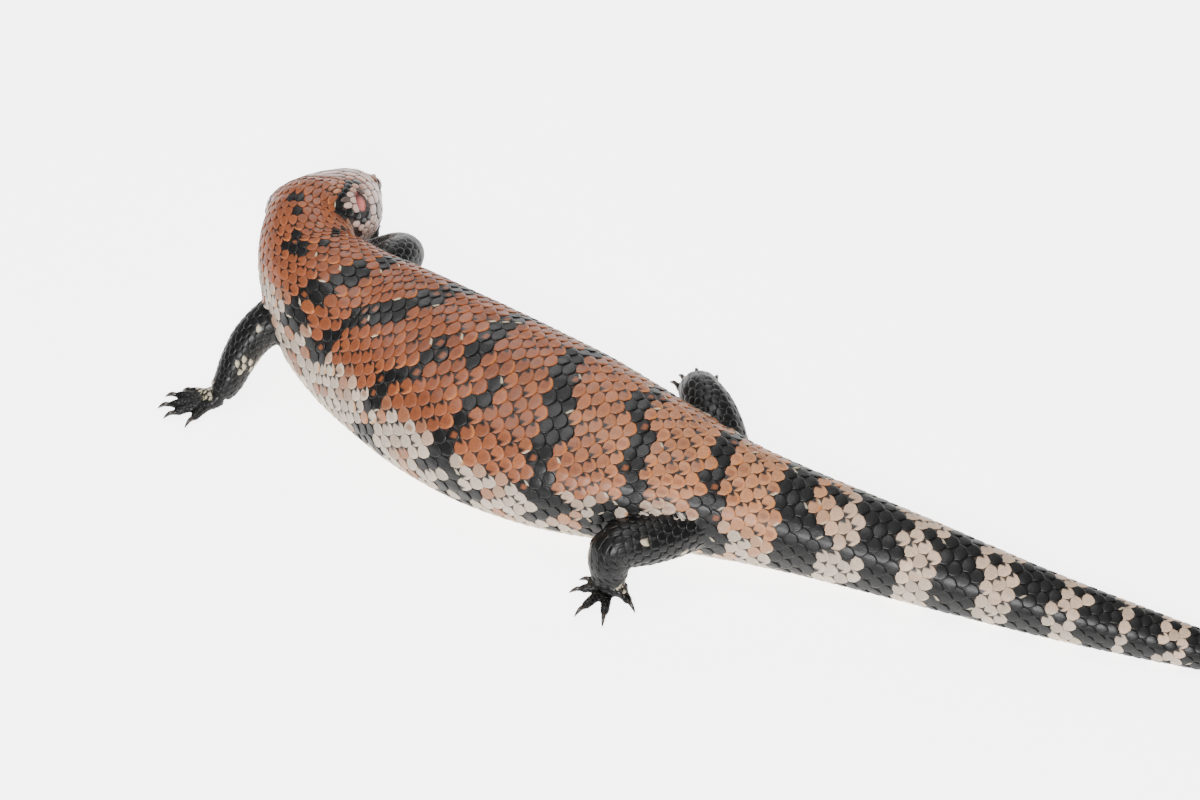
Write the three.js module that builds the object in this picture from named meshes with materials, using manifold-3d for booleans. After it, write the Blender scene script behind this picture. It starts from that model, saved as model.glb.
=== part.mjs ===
// A life-size blue-tongued skink that rests on its belly, with its head turned to its right and bent down.
// Millimetres, +X towards the head, +Y to the animal's left, +Z up. The floor is z = 0.
// The origin is on the flat of the belly, under the middle of the trunk.
import * as THREE from "three";
import { mergeVertices } from "three/addons/utils/BufferGeometryUtils.js";
import Module from "manifold-3d";

const wasm = await Module();
wasm.setup();

// Driving sizes
const GAP = 0.3; // between two nodes that meet
const HEAD_LENGTH = 59; // from the back of the skull to the tip of the snout
const EYE_RADIUS = 3.7;
const LID_THICKNESS = 0.9;
const CLAW_LENGTH = 3.6;
const TOE_RADIUS = 1.75;
const FLOOR_DEPTH = 40; // of the block that cuts the flats

// The trunk from the skull to the tip of the tail. Each station has its centre at the widest level,
// half the width, and the heights of the back above that level and of the belly below it.
const TRUNK = [
  [94, -26, 30, 11, 9, 10],
  [88, -12, 40, 15, 14, 15],
  [83, -2, 40, 16.5, 17.5, 20],
  [73, 6, 36, 20, 21.5, 24],
  [57, 10, 31, 25.5, 25.5, 27],
  [40, 9, 25, 31, 27.5, 25.5],
  [20, 7, 21.5, 35, 27.5, 22.5],
  [0, 5, 20.5, 37.5, 27, 21.5],
  [-22, 1.5, 20, 38, 26, 21],
  [-45, -4.5, 19.5, 36, 24.5, 20.5],
  [-66, -11, 19, 31, 22.5, 20],
  [-86, -17.5, 18, 25.5, 20.5, 19],
  [-104, -24, 16.5, 21.5, 18, 17.5],
  [-126, -33, 14.5, 18.5, 15.5, 15.5],
  [-152, -43, 12.5, 16.3, 13.5, 13.5],
  [-180, -53, 10.8, 13.8, 11.6, 11.8],
  [-207, -63, 9, 11.2, 9.6, 10],
  [-234, -74, 7.2, 8.8, 7.8, 8.2],
  [-261, -86, 5.2, 6.2, 5.7, 6.1],
  [-287, -100, 3.1, 3.6, 3.5, 3.9],
  [-312, -116, 1.1, 1, 1, 1.6],
];
const CHIN_TO_NECK = 1.5; // stations where the trunk is parted
const NECK_TO_CHEST = 3.7;
const CHEST_TO_BELLY = 7;
const BELLY_TO_HIPS = 10.3;
const HIPS_TO_TAIL = 12.3;
const TAIL_PARTS = [15.2, 17.6];

// The head in its own frame: +X to the snout, +Z to the crown, origin at the back of the skull.
// Each station has its place, the level of its widest line, half the width and the two heights.
const HEAD = [
  [-12, -1, 12, 9, 9],
  [-5, -1.5, 17.5, 12.5, 13],
  [5, -2, 20.8, 14.5, 15.5],
  [15, -2, 20.8, 15, 15],
  [25, -1.5, 18.2, 14.5, 13],
  [34, -1, 15.3, 13.2, 11.2],
  [42, -1, 12.6, 11.1, 9.6],
  [49.5, -1, 10, 8.9, 8.1],
  [55, -1, 7.5, 6.7, 6.3],
  [HEAD_LENGTH, -1, 3.6, 3.6, 3.6],
];
const HEAD_PLACE = [87.5, -10.5, 42];
const HEAD_YAW = THREE.MathUtils.degToRad(-64);
const HEAD_PITCH = THREE.MathUtils.degToRad(38); // snout down
const HEAD_ROLL = THREE.MathUtils.degToRad(-18); // crown to the animal's left
const EYE_PLACE = [32.5, 13.3, 4.6];
const EAR_PLACE = [-1, 19, 2];
const EAR_SIZE = [2.2, 3.2, 4.2];
const NOSTRIL_PLACE = [54, 7.2, 1.6];
const NOSTRIL_SIZE = [1.3, 1.6, 0.9];
// The line of the mouth from in front of the snout to behind the corner, then down round the jaw
const MOUTH_LINE = [
  [68, -2.6],
  [52, -2.4],
  [37, -3.4],
  [24, -5.2],
  [16, -7.2],
  [12, -10.5],
  [9, -26],
];
const MOUTH_GAP = 0.4;
const LIP_SIZE = 0.75;

// Limbs: stations of centre and radius from inside the trunk to the wrist or ankle, the two places where they
// are parted, the palm, and each toe's root and tip. The inner toe comes first.
const LIMBS = {
  left_fore: {
    parts: ["left_upper_arm", "left_forearm", "left_hand"],
    stations: [
      [60, 12, 29, 9],
      [70, 23, 27, 8.8],
      [75, 35, 21.5, 7.4],
      [75.5, 44, 15, 6.4],
      [75, 51, 8.6, 5.4],
      [76, 56, 5, 4.2],
    ],
    cuts: [2.1, 4.2],
    palm: [[75, 54, 4.2], [79.5, 60, 2.6], 4.8, 3],
    toes: [
      [[82, 57.5], [87, 59.5]],
      [[82.5, 60], [90, 65]],
      [[81.5, 62.5], [88.5, 70]],
      [[79.5, 63.5], [84, 71.5]],
      [[76.5, 62.5], [76.5, 69]],
    ],
  },
  right_fore: {
    parts: ["right_upper_arm", "right_forearm", "right_hand"],
    stations: [
      [58, -2, 28, 9],
      [59, -18, 27, 8.4],
      [61, -29, 22, 7.8],
      [70, -33.5, 15, 6.8],
      [80, -33, 8, 5.2],
      [85, -32.5, 4.6, 4.2],
    ],
    cuts: [2.1, 4.2],
    palm: [[83, -32.5, 4.2], [89, -34.5, 2.6], 4.8, 3],
    toes: [
      [[91, -31], [96, -29]],
      [[92, -34], [100, -35]],
      [[91.5, -36.5], [99, -41]],
      [[89.5, -38.5], [92.5, -45]],
      [[86.5, -38], [87, -43]],
    ],
  },
  left_hind: {
    parts: ["left_thigh", "left_shank", "left_foot"],
    stations: [
      [-98, -16, 17, 9],
      [-99, -4, 18, 9.4],
      [-93.5, 10, 19, 9],
      [-86.5, 20.5, 18.5, 8.2],
      [-87.5, 24.5, 11.5, 7],
      [-89, 24.5, 5.6, 5.6],
    ],
    cuts: [2.9, 4.3],
    palm: [[-88.5, 22, 5], [-90, 28.5, 2.8], 6.2, 3.4],
    toes: [
      [[-84, 26.3], [-81, 27.7]],
      [[-85, 29], [-81.2, 33]],
      [[-88, 31], [-87.2, 38.5]],
      [[-91.5, 30.5], [-95, 36]],
      [[-95, 25], [-98.2, 26]],
    ],
  },
  right_hind: {
    parts: ["right_thigh", "right_shank", "right_foot"],
    stations: [
      [-96, -28, 17, 9],
      [-86, -39, 18.5, 9.2],
      [-75, -47, 20, 8.6],
      [-64, -52.5, 18, 7.8],
      [-62, -58, 11.5, 7],
      [-65.5, -61.5, 5.6, 5.4],
    ],
    cuts: [2.9, 4.3],
    palm: [[-66, -61, 5], [-55.5, -62, 2.8], 6.2, 3.4],
    toes: [
      [[-56.5, -57.5], [-52.5, -55.5]],
      [[-54, -59.5], [-47, -60.5]],
      [[-53.5, -62], [-47, -64.5]],
      [[-54.5, -65], [-49, -70]],
      [[-59, -67.5], [-56.5, -72]],
    ],
  },
};

const paint = (colour, roughness) => new THREE.MeshStandardMaterial({ color: colour, roughness, metalness: 0 });
const RUST = paint(0xa35a3c, 0.45);
const GREY = paint(0xb8a79e, 0.5);
const BLACK = paint(0x1d1c1e, 0.4);
const EYE = paint(0x3a1c10, 0.15);

// The smooth row at place u of a list of rows, by a Catmull-Rom spline
function rowAt(rows, u) {
  const last = rows.length - 1;
  const place = Math.min(Math.max(u, 0), last);
  const i = Math.min(Math.floor(place), last - 1);
  const t = place - i;
  const [a, b, c, d] = [i - 1, i, i + 1, i + 2].map((k) => rows[Math.min(Math.max(k, 0), last)]);
  return b.map((_, k) => {
    const slopeIn = (c[k] - a[k]) / 2;
    const slopeOut = (d[k] - b[k]) / 2;
    const rise = c[k] - b[k];
    return b[k] + t * (slopeIn + t * (3 * rise - 2 * slopeIn - slopeOut + t * (slopeIn + slopeOut - 2 * rise)));
  });
}

const pointAt = (rows, u) => new THREE.Vector3(...rowAt(rows, u).slice(0, 3));

// The direction along the stations at u, and the level side and upward directions square to it
function frameAt(rows, u) {
  const step = 0.05;
  const along = pointAt(rows, u + step).sub(pointAt(rows, u - step)).normalize();
  const side = new THREE.Vector3(0, 0, 1).cross(along).normalize();
  const up = along.clone().cross(side);
  return { along, side, up };
}

// A point of an oval section: angle 0 is to the side and a quarter turn is up
function oval(angle, width, up, down, topPower, bottomPower) {
  const s = Math.sin(angle);
  const c = Math.cos(angle);
  const power = 2 / (s >= 0 ? topPower : bottomPower);
  return [
    Math.sign(c) * Math.abs(c) ** power * width,
    Math.sign(s) * Math.abs(s) ** power * (s >= 0 ? up : down),
  ];
}

// A closed skin from a sphere whose rings are moved to where surface(share, angle) says
function shaped(sides, rings, surface) {
  const geometry = new THREE.SphereGeometry(1, sides, rings);
  const position = geometry.getAttribute("position");
  const uv = geometry.getAttribute("uv");
  for (let i = 0; i < position.count; i++) {
    const share = 1 - uv.getY(i);
    const pole = share < 1e-6 || share > 1 - 1e-6;
    const turn = (Math.round(uv.getX(i) * sides) % sides) / sides;
    position.setXYZ(i, ...surface(share, pole ? null : turn * 2 * Math.PI));
  }
  return geometry;
}

function solid(geometry) {
  const bare = geometry.clone();
  bare.deleteAttribute("normal");
  bare.deleteAttribute("uv");
  const merged = mergeVertices(bare, 1e-4);
  const build = (triVerts) =>
    new wasm.Manifold(new wasm.Mesh({ numProp: 3, vertProperties: merged.attributes.position.array, triVerts }));
  const triangles = new Uint32Array(merged.index.array);
  const made = build(triangles);
  if (made.volume() > 0) return made;
  for (let i = 0; i < triangles.length; i += 3) [triangles[i + 1], triangles[i + 2]] = [triangles[i + 2], triangles[i + 1]];
  return build(triangles);
}

// A loft along stations of centre, half width, height above and depth below. The end rings close on the ends.
function loft(rows, sides, rings, { grow = 0, topPower = 2, bottomPower = 2, from = 0, to = rows.length - 1 } = {}) {
  return solid(
    shaped(sides, rings, (share, angle) => {
      const u = from + (to - from) * share;
      const centre = pointAt(rows, u);
      if (angle === null) return centre.toArray();
      const [width, up, down] = rowAt(rows, u).slice(3);
      const { side, up: upward } = frameAt(rows, u);
      const [a, b] = oval(angle, width + grow, up + grow, down + grow, topPower, bottomPower);
      return centre.addScaledVector(side, a).addScaledVector(upward, b).toArray();
    }),
  );
}

const round = (rows) => rows.map(([x, y, z, r]) => [x, y, z, r, r, r]);

function block(width, depth, height, place = [0, 0, 0], basis = null) {
  const matrix = basis ? basis.clone() : new THREE.Matrix4();
  matrix.setPosition(...place);
  return solid(new THREE.BoxGeometry(width, depth, height).applyMatrix4(matrix));
}

const FLOOR = block(900, 900, FLOOR_DEPTH, [0, 0, -FLOOR_DEPTH / 2]);

const volumeOf = (piece) => piece.volume();
const centreOf = (piece) => {
  const { min, max } = piece.boundingBox();
  return new THREE.Vector3((min[0] + max[0]) / 2, (min[1] + max[1]) / 2, (min[2] + max[2]) / 2);
};
const pieces = (made) => made.decompose().sort((a, b) => volumeOf(b) - volumeOf(a));

// Parts a solid by a thin square plate across its stations at u, as [the first side, the side further along]
function partedAt(made, rows, u, reach) {
  const { along, side, up } = frameAt(rows, u);
  const centre = pointAt(rows, u);
  const basis = new THREE.Matrix4().makeBasis(along, side, up);
  const two = pieces(made.subtract(block(GAP, reach, reach, centre.toArray(), basis))).slice(0, 2);
  const ahead = (piece) => centreOf(piece).sub(centre).dot(along);
  return two.sort((a, b) => ahead(a) - ahead(b));
}

function ellipsoid(place, size, turn = 0) {
  const matrix = new THREE.Matrix4().makeRotationY(turn).scale(new THREE.Vector3(...size));
  return solid(new THREE.SphereGeometry(1, 16, 10).applyMatrix4(matrix.setPosition(...place)));
}

const mirrored = ([x, y, z], hand) => [x, y * hand, z];

// A thin plate that follows the line of the mouth across the whole head
function mouthPlate(thickness, width) {
  const last = MOUTH_LINE.length - 1;
  const line = MOUTH_LINE.map(([x, z]) => new THREE.Vector2(x, z));
  const plate = new THREE.BoxGeometry(1, 1, 1, last, 1, 1);
  const position = plate.getAttribute("position");
  for (let i = 0; i < position.count; i++) {
    const k = Math.round((0.5 - position.getX(i)) * last);
    const along = line[Math.max(k - 1, 0)].clone().sub(line[Math.min(k + 1, last)]).normalize();
    const off = position.getZ(i) * thickness;
    position.setXYZ(i, line[k].x - along.y * off, position.getY(i) * width, line[k].y + along.x * off);
  }
  return solid(plate);
}

// The lips: a low ridge on each side of the line of the mouth
function lipRidge(hand, lift) {
  const rows = [0.1, 0.3, 0.5, 0.7, 0.9].map((share) => {
    const [x, z] = rowAt(MOUTH_LINE.slice(1, 5), share * 3);
    const [, level, width, , down] = rowAt(HEAD, headPlace(x));
    const drop = Math.min(Math.max((level - z) / down, 0), 1);
    const reach = width * Math.cos(Math.asin(drop));
    return [x, hand * (reach - 0.25), z + lift, LIP_SIZE, LIP_SIZE, LIP_SIZE];
  });
  return loft(rows, 6, 8);
}

// The place u in the head's stations where the head reaches x
function headPlace(x) {
  let u = 0;
  while (u < HEAD.length - 1 && rowAt(HEAD, u)[0] < x) u += 0.02;
  return u;
}

// An almond ring round the eye: the two lids, which meet at its corners
function lids(hand) {
  const [x, y, z] = EYE_PLACE;
  const ring = new THREE.TorusGeometry(EYE_RADIUS + 0.35, LID_THICKNESS, 8, 20);
  ring.scale(1.22, 0.92, 1.3);
  ring.rotateX(Math.PI / 2);
  ring.rotateZ(-hand * 0.3);
  ring.rotateX(hand * 0.12);
  return solid(ring.translate(x, hand * (y + 1.5), z));
}

function headSolid() {
  let head = solid(
    shaped(28, 26, (share, angle) => {
      const [x, level, width, up, down] = rowAt(HEAD, (HEAD.length - 1) * share);
      if (angle === null) return [x, 0, level];
      const [a, b] = oval(angle, width, up, down, 2.5, 2.2);
      return [x, a, level + b];
    }),
  );
  for (const hand of [1, -1]) {
    head = head.add(lids(hand)).add(lipRidge(hand, 0.9)).add(lipRidge(hand, -0.9));
    head = head.subtract(ellipsoid(mirrored(EYE_PLACE, hand), Array(3).fill(EYE_RADIUS + GAP)));
    head = head.subtract(ellipsoid(mirrored(EAR_PLACE, hand), EAR_SIZE, 0.3));
    head = head.subtract(ellipsoid(mirrored(NOSTRIL_PLACE, hand), NOSTRIL_SIZE));
  }
  return head;
}

const headMatrix = new THREE.Matrix4()
  .makeRotationZ(HEAD_YAW)
  .multiply(new THREE.Matrix4().makeRotationY(HEAD_PITCH))
  .multiply(new THREE.Matrix4().makeRotationX(HEAD_ROLL))
  .setPosition(...HEAD_PLACE);
const inHeadFrame = (made) => made.transform(headMatrix.elements);

const trunkShape = (grow) => loft(TRUNK, 26, 72, { grow, topPower: 2.15, bottomPower: 2.5 });

// A claw that leaves the toe's tip, arches and comes down to the floor
function claw(tip, away) {
  const at = (forward, height, radius) => [
    tip.x + away.x * forward,
    tip.y + away.y * forward,
    height,
    radius,
    radius,
    radius,
  ];
  const rows = [at(-1.2, 2, 0.9), at(0.6, 2.3, 0.85), at(CLAW_LENGTH * 0.6, 1.7, 0.6), at(CLAW_LENGTH, 0.45, 0.3)];
  return loft(rows, 5, 5);
}

function toe([root, end]) {
  const start = new THREE.Vector3(root[0], root[1], 0);
  const tip = new THREE.Vector3(end[0], end[1], 0);
  const away = tip.clone().sub(start).normalize();
  const knuckle = start.clone().lerp(tip, 0.5);
  const rows = [
    [start.x - away.x * 2, start.y - away.y * 2, 2.6, TOE_RADIUS],
    [start.x, start.y, 2.6, TOE_RADIUS],
    [knuckle.x, knuckle.y, 2.5, TOE_RADIUS * 0.95],
    [tip.x, tip.y, 1.6, TOE_RADIUS * 0.85],
  ];
  return loft(round(rows), 7, 6).add(claw(tip, away));
}

function palmSolid([heel, front, halfWidth, height]) {
  const mid = heel.map((v, i) => (v + front[i]) / 2);
  const rows = [
    [...heel, halfWidth * 0.75, height, height],
    [...mid, halfWidth, height * 0.95, height],
    [...front, halfWidth, height * 0.62, height * 0.8],
  ];
  return loft(rows, 10, 6, { topPower: 2.2, bottomPower: 2.2 });
}

// One limb as three nodes, from the trunk outwards
function limb({ parts, stations, cuts, palm, toes }, around) {
  const rows = round(stations);
  let whole = loft(rows, 12, 14).add(palmSolid(palm));
  for (const each of toes) whole = whole.add(toe(each));
  whole = pieces(whole.subtract(around).subtract(FLOOR))[0];
  const [upper, rest] = partedAt(whole, rows, cuts[0], 30);
  const [middle, end] = partedAt(rest, rows, cuts[1], 20);
  return parts.map((name, i) => [name, [upper, middle, end][i], BLACK]);
}

function trunkNodes() {
  const animal = trunkShape(0).add(inHeadFrame(headSolid())).subtract(FLOOR);
  const named = [];
  let rest = animal;
  const cuts = [
    ["neck_and_head", CHIN_TO_NECK, 58],
    ["neck", NECK_TO_CHEST, 74],
    ["chest", CHEST_TO_BELLY, 100],
    ["belly", BELLY_TO_HIPS, 90],
    ["hips", HIPS_TO_TAIL, 70],
    ["tail_base", TAIL_PARTS[0], 50],
    ["tail_middle", TAIL_PARTS[1], 40],
  ];
  for (const [name, u, reach] of cuts) {
    const [front, back] = partedAt(rest, TRUNK, u, reach);
    named.push([name, front]);
    rest = back;
  }
  named.push(["tail_tip", rest]);
  const [, whole] = named.shift();
  const [head, jaw] = pieces(whole.subtract(inHeadFrame(mouthPlate(MOUTH_GAP, 60)))).slice(0, 2);
  return [
    ["head", head, RUST],
    ["lower_jaw", jaw, GREY],
    ...named.map(([name, made]) => [name, pieces(made)[0], name.startsWith("tail") ? BLACK : RUST]),
  ];
}

function eyes() {
  return [1, -1].map((hand) => {
    const ball = ellipsoid(mirrored(EYE_PLACE, hand), Array(3).fill(EYE_RADIUS));
    return [hand > 0 ? "left_eye" : "right_eye", inHeadFrame(ball), EYE];
  });
}

function meshOf([name, made, material]) {
  const { vertProperties, triVerts, numProp } = made.getMesh();
  const geometry = new THREE.BufferGeometry();
  const points = new Float32Array((vertProperties.length / numProp) * 3);
  for (let i = 0; i < points.length / 3; i++) points.set(vertProperties.subarray(i * numProp, i * numProp + 3), i * 3);
  geometry.setAttribute("position", new THREE.BufferAttribute(points, 3));
  geometry.setIndex(new THREE.BufferAttribute(triVerts, 1));
  geometry.computeVertexNormals();
  const mesh = new THREE.Mesh(geometry, material);
  mesh.name = name;
  return mesh;
}

const skink = new THREE.Group();
const around = trunkShape(GAP).add(inHeadFrame(headSolid()));
for (const node of trunkNodes()) skink.add(meshOf(node));
for (const node of eyes()) skink.add(meshOf(node));
for (const shape of Object.values(LIMBS)) {
  for (const node of limb(shape, around)) skink.add(meshOf(node));
}

export default skink;
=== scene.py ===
"""The looks of a life-size blue-tongued skink: one skin over the solids, and solid scales over the skin.

Lengths are in millimetres in the tables and in metres in the scene, through MM.
+X is towards the head, +Y to the animal's left, +Z up, and the floor is z = 0.
"""

import math

import bmesh
import bpy
import numpy as np
from mathutils import Matrix, Vector
from mathutils.bvhtree import BVHTree
from mathutils.kdtree import KDTree


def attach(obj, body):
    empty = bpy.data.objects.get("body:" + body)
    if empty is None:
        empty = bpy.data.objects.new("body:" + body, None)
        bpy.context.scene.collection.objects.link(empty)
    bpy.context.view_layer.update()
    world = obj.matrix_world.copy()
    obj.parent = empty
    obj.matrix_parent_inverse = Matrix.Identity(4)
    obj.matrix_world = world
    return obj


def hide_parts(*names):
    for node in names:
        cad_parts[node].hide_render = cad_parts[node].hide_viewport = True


MM = 0.001
SEED = 11

# The trunk from skull to tail tip, as in the solids: centre, half width, height above and depth below
TRUNK = [
    [94, -26, 30, 11, 9, 10],
    [88, -12, 40, 15, 14, 15],
    [83, -2, 40, 16.5, 17.5, 20],
    [73, 6, 36, 20, 21.5, 24],
    [57, 10, 31, 25.5, 25.5, 27],
    [40, 9, 25, 31, 27.5, 25.5],
    [20, 7, 21.5, 35, 27.5, 22.5],
    [0, 5, 20.5, 37.5, 27, 21.5],
    [-22, 1.5, 20, 38, 26, 21],
    [-45, -4.5, 19.5, 36, 24.5, 20.5],
    [-66, -11, 19, 31, 22.5, 20],
    [-86, -17.5, 18, 25.5, 20.5, 19],
    [-104, -24, 16.5, 21.5, 18, 17.5],
    [-126, -33, 14.5, 18.5, 15.5, 15.5],
    [-152, -43, 12.5, 16.3, 13.5, 13.5],
    [-180, -53, 10.8, 13.8, 11.6, 11.8],
    [-207, -63, 9, 11.2, 9.6, 10],
    [-234, -74, 7.2, 8.8, 7.8, 8.2],
    [-261, -86, 5.2, 6.2, 5.7, 6.1],
    [-287, -100, 3.1, 3.6, 3.5, 3.9],
    [-312, -116, 1.1, 1, 1, 1.6],
]
TRUNK_POWERS = (2.15, 2.5)  # how square its sections are above and below, where 2 is an ellipse
# The head in its own frame: place along it, level of the widest line, half width, height above, depth below
HEAD = [
    [-12, -1, 12, 9, 9],
    [-5, -1.5, 17.5, 12.5, 13],
    [5, -2, 20.8, 14.5, 15.5],
    [15, -2, 20.8, 15, 15],
    [25, -1.5, 18.2, 14.5, 13],
    [34, -1, 15.3, 13.2, 11.2],
    [42, -1, 12.6, 11.1, 9.6],
    [49.5, -1, 10, 8.9, 8.1],
    [55, -1, 7.5, 6.7, 6.3],
    [59, -1, 3.6, 3.6, 3.6],
]
HEAD_PLACE = (87.5, -10.5, 42)
HEAD_YAW = math.radians(-64)
HEAD_PITCH = math.radians(38)
HEAD_ROLL = math.radians(-18)
EYE_PLACE = (32.5, 13.3, 4.6)
EYE_RADIUS = 3.7
EAR_PLACE = (-1, 19, 2)
EAR_SIZE = (2.2, 3.2, 4.2)
SIGHT = (0.25, 1, 0.22)  # where the left eye looks, in the head's frame
SHIELDS_END = 4.5  # mm ahead of the back of the skull, where the shields give way to scales
MOUTH_LINE = [(60, -2.6), (52, -2.4), (37, -3.4), (24, -5.2), (16, -7.2), (12, -10.5)]
MOUTH_CORNER = 13  # mm along the head, where the line of the mouth ends

# Limbs: stations of centre and radius, palm as heel, front, half width and height, and toes as root and tip
LIMBS = {
    "left_fore": {
        "stations": [
            [60, 12, 29, 9], [70, 23, 27, 8.8], [75, 35, 21.5, 7.4], [75.5, 44, 15, 6.4],
            [75, 51, 8.6, 5.4], [76, 56, 5, 4.2],
        ],
        "palm": [[75, 54, 4.2], [79.5, 60, 2.6], 4.8, 3],
        "toes": [
            [[82, 57.5], [87, 59.5]], [[82.5, 60], [90, 65]], [[81.5, 62.5], [88.5, 70]],
            [[79.5, 63.5], [84, 71.5]], [[76.5, 62.5], [76.5, 69]],
        ],
    },
    "right_fore": {
        "stations": [
            [58, -2, 28, 9], [59, -18, 27, 8.4], [61, -29, 22, 7.8], [70, -33.5, 15, 6.8],
            [80, -33, 8, 5.2], [85, -32.5, 4.6, 4.2],
        ],
        "palm": [[83, -32.5, 4.2], [89, -34.5, 2.6], 4.8, 3],
        "toes": [
            [[91, -31], [96, -29]], [[92, -34], [100, -35]], [[91.5, -36.5], [99, -41]],
            [[89.5, -38.5], [92.5, -45]], [[86.5, -38], [87, -43]],
        ],
    },
    "left_hind": {
        "stations": [
            [-98, -16, 17, 9], [-99, -4, 18, 9.4], [-93.5, 10, 19, 9], [-86.5, 20.5, 18.5, 8.2],
            [-87.5, 24.5, 11.5, 7], [-89, 24.5, 5.6, 5.6],
        ],
        "palm": [[-88.5, 22, 5], [-90, 28.5, 2.8], 6.2, 3.4],
        "toes": [
            [[-84, 26.3], [-81, 27.7]], [[-85, 29], [-81.2, 33]], [[-88, 31], [-87.2, 38.5]],
            [[-91.5, 30.5], [-95, 36]], [[-95, 25], [-98.2, 26]],
        ],
    },
    "right_hind": {
        "stations": [
            [-96, -28, 17, 9], [-86, -39, 18.5, 9.2], [-75, -47, 20, 8.6], [-64, -52.5, 18, 7.8],
            [-62, -58, 11.5, 7], [-65.5, -61.5, 5.6, 5.4],
        ],
        "palm": [[-66, -61, 5], [-55.5, -62, 2.8], 6.2, 3.4],
        "toes": [
            [[-56.5, -57.5], [-52.5, -55.5]], [[-54, -59.5], [-47, -60.5]], [[-53.5, -62], [-47, -64.5]],
            [[-54.5, -65], [-49, -70]], [[-59, -67.5], [-56.5, -72]],
        ],
    },
}
PALM_POWERS = (2.2, 2.2)
TOE_RADIUS = 1.75
# A claw from its root to its point: mm ahead of the toe's tip, level and radius
CLAW = [(-1.0, 2.1, 1.0), (0.4, 2.45, 1.02), (1.26, 2.25, 0.88), (2.52, 1.45, 0.58), (3.6, 0.42, 0.14)]

# Stretches of the trunk: where each ends, in mm along it from the skull, and the scales in its rings
SCALES_START = 13
SCALE_RINGS = [(84, 33), (146, 33), (206, 33), (224, 28), (243, 23)]
SCALE_RINGS += [(266, 19), (300, 17), (361, 14), (411, 11), (453, 8)]
# The length from one ring of scales to the next, by the place along the trunk
RING_STEP = [(0, 2.2), (45, 2.8), (80, 3.5), (140, 3.8), (200, 3.6)]
RING_STEP += [(280, 4.1), (340, 3.7), (400, 3), (456, 2.3)]
# Rings on limbs: where they start, how far from the end they stop, scales in each, step, share of thickness
LIMB_RINGS = (3, 1, 14, 2.5, 0.75)
PALM_RINGS = (0.5, 0, 12, 1.7, 0.5)
TOE_RINGS = (1.4, 0.2, 5, 1.25, 0.4)

# The black marks as lines of (mm along the trunk, degrees to the right of its midline), and their half width
MARKS = [
    ([(22, -14), (29, -8), (34, -1)], 2.2),
    ([(17, 33), (22, 38), (24, 50), (23, 68), (16, 84), (6, 92)], 3.4),
    ([(42, -24), (40, -12), (46, -13)], 2.8),
    ([(47, 6), (46, 18), (41, 30), (36, 44)], 2.6),
    ([(60, -58), (58, -46), (58, -32), (59, -18), (62, -5), (64, 8), (66, 24), (68, 42), (70, 70)], 3),
    ([(70, -64), (73, -50), (74, -36), (77, -25), (84, -13), (90, 0)], 3.6),
    ([(90, 0), (95, 14), (96, 32), (100, 52), (99, 72)], 3.6),
    ([(114, -8), (113, -20), (108, -30), (106, -42), (104, -56), (104, -72), (101, -96)], 3.4),
    ([(129, 0), (126, 12), (125, 26), (127, 42), (130, 60), (128, 86)], 4),
    ([(141, -12), (137, -22), (135, -34), (135, -50), (134, -64), (136, -82), (142, -100)], 3.4),
    ([(163, -8), (166, -18), (162, -28), (163, -40), (166, -52), (166, -66), (172, -84)], 3.8),
    ([(163, -4), (158, 4), (157, 16), (157, 32), (161, 50), (164, 72), (160, 96)], 4.4),
    ([(189, 62), (188, 40), (186, 24), (188, 8), (193, -8)], 4.2),
    ([(193, -8), (193, -24), (195, -38), (197, -54), (192, -74), (188, -98)], 4.2),
    ([(223, 66), (222, 42), (219, 18), (220, -2), (219, -18), (220, -36), (224, -54), (222, -80)], 4.2),
    ([(250, 96), (250, 36), (249, 14), (246, -14), (247, -28), (253, -44), (252, -90)], 6.2),
    ([(274, 120), (274, 28), (278, 3), (279, -25), (282, -48), (282, -110)], 7.4),
    ([(307, 180), (307, 0), (309, -33), (309, -179)], 7),
    ([(334, 180), (334, 20), (336, -13), (335, -179)], 6.4),
    ([(358, 180), (357, 11), (358, -33), (358, -179)], 6),
    ([(376, 180), (374, 4), (374, -62), (375, -179)], 4.6),
    ([(392, 180), (391, 0), (392, -179)], 5),
    ([(409, 180), (409, -179)], 5.4),
    ([(426, 180), (426, -179)], 5.6),
    ([(446, 180), (446, -179)], 12),
]

# Where the pattern changes, in mm along the trunk and degrees from its midline
NAPE_END = 34
TAN_STRETCH = (110, 262)
PALE_STRETCH = (252, 272)
TAIL_START = 262
TAIL_LINES = (256, 400)
FLANK_SIDE = (54, 66)
BELLY_SIDE = (98, 112)

# Colours as seen, 0 to 255
RUST = (148, 82, 46)
RUST_DARK = (116, 60, 36)
TAN = (197, 139, 97)
TAIL_PALE = (206, 176, 150)
FLANK_PALE = (184, 168, 150)
BELLY_PALE = (222, 205, 178)
ORANGE = (206, 124, 62)
CREAM = (214, 200, 172)
BLACK = (6, 5, 5)
HEAD_SIDE = (214, 180, 166)
HEAD_TOP = (158, 94, 60)
THROAT = (206, 198, 190)
EAR_PINK = (206, 120, 112)
# painted shade in the seam of the mouth
MOUTH_SEAM_SHADE = (34, 22, 18)
HORN = (48, 40, 34)
WHITE_GROUND = (250, 249, 248)
# The eye from its middle out, as shares of IRIS_REACH eye radii from the front of the eyeball
IRIS = [(0.0, (4, 4, 4)), (0.36, (6, 5, 5)), (0.42, (92, 44, 24)), (0.72, (64, 30, 20)), (0.84, (16, 10, 9))]
IRIS_REACH = 1.2

# The camera of the photograph: 75 mm lens on a 36 mm frame, 50 degrees down
CAMERA_PLACE = (-0.41938, 0.41111, 0.70865)
CAMERA_AHEAD = (0.42169, -0.48513, -0.76604)
CAMERA_UP = (0.50257, -0.57814, 0.64279)
LENS = 75
SENSOR = 36
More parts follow.
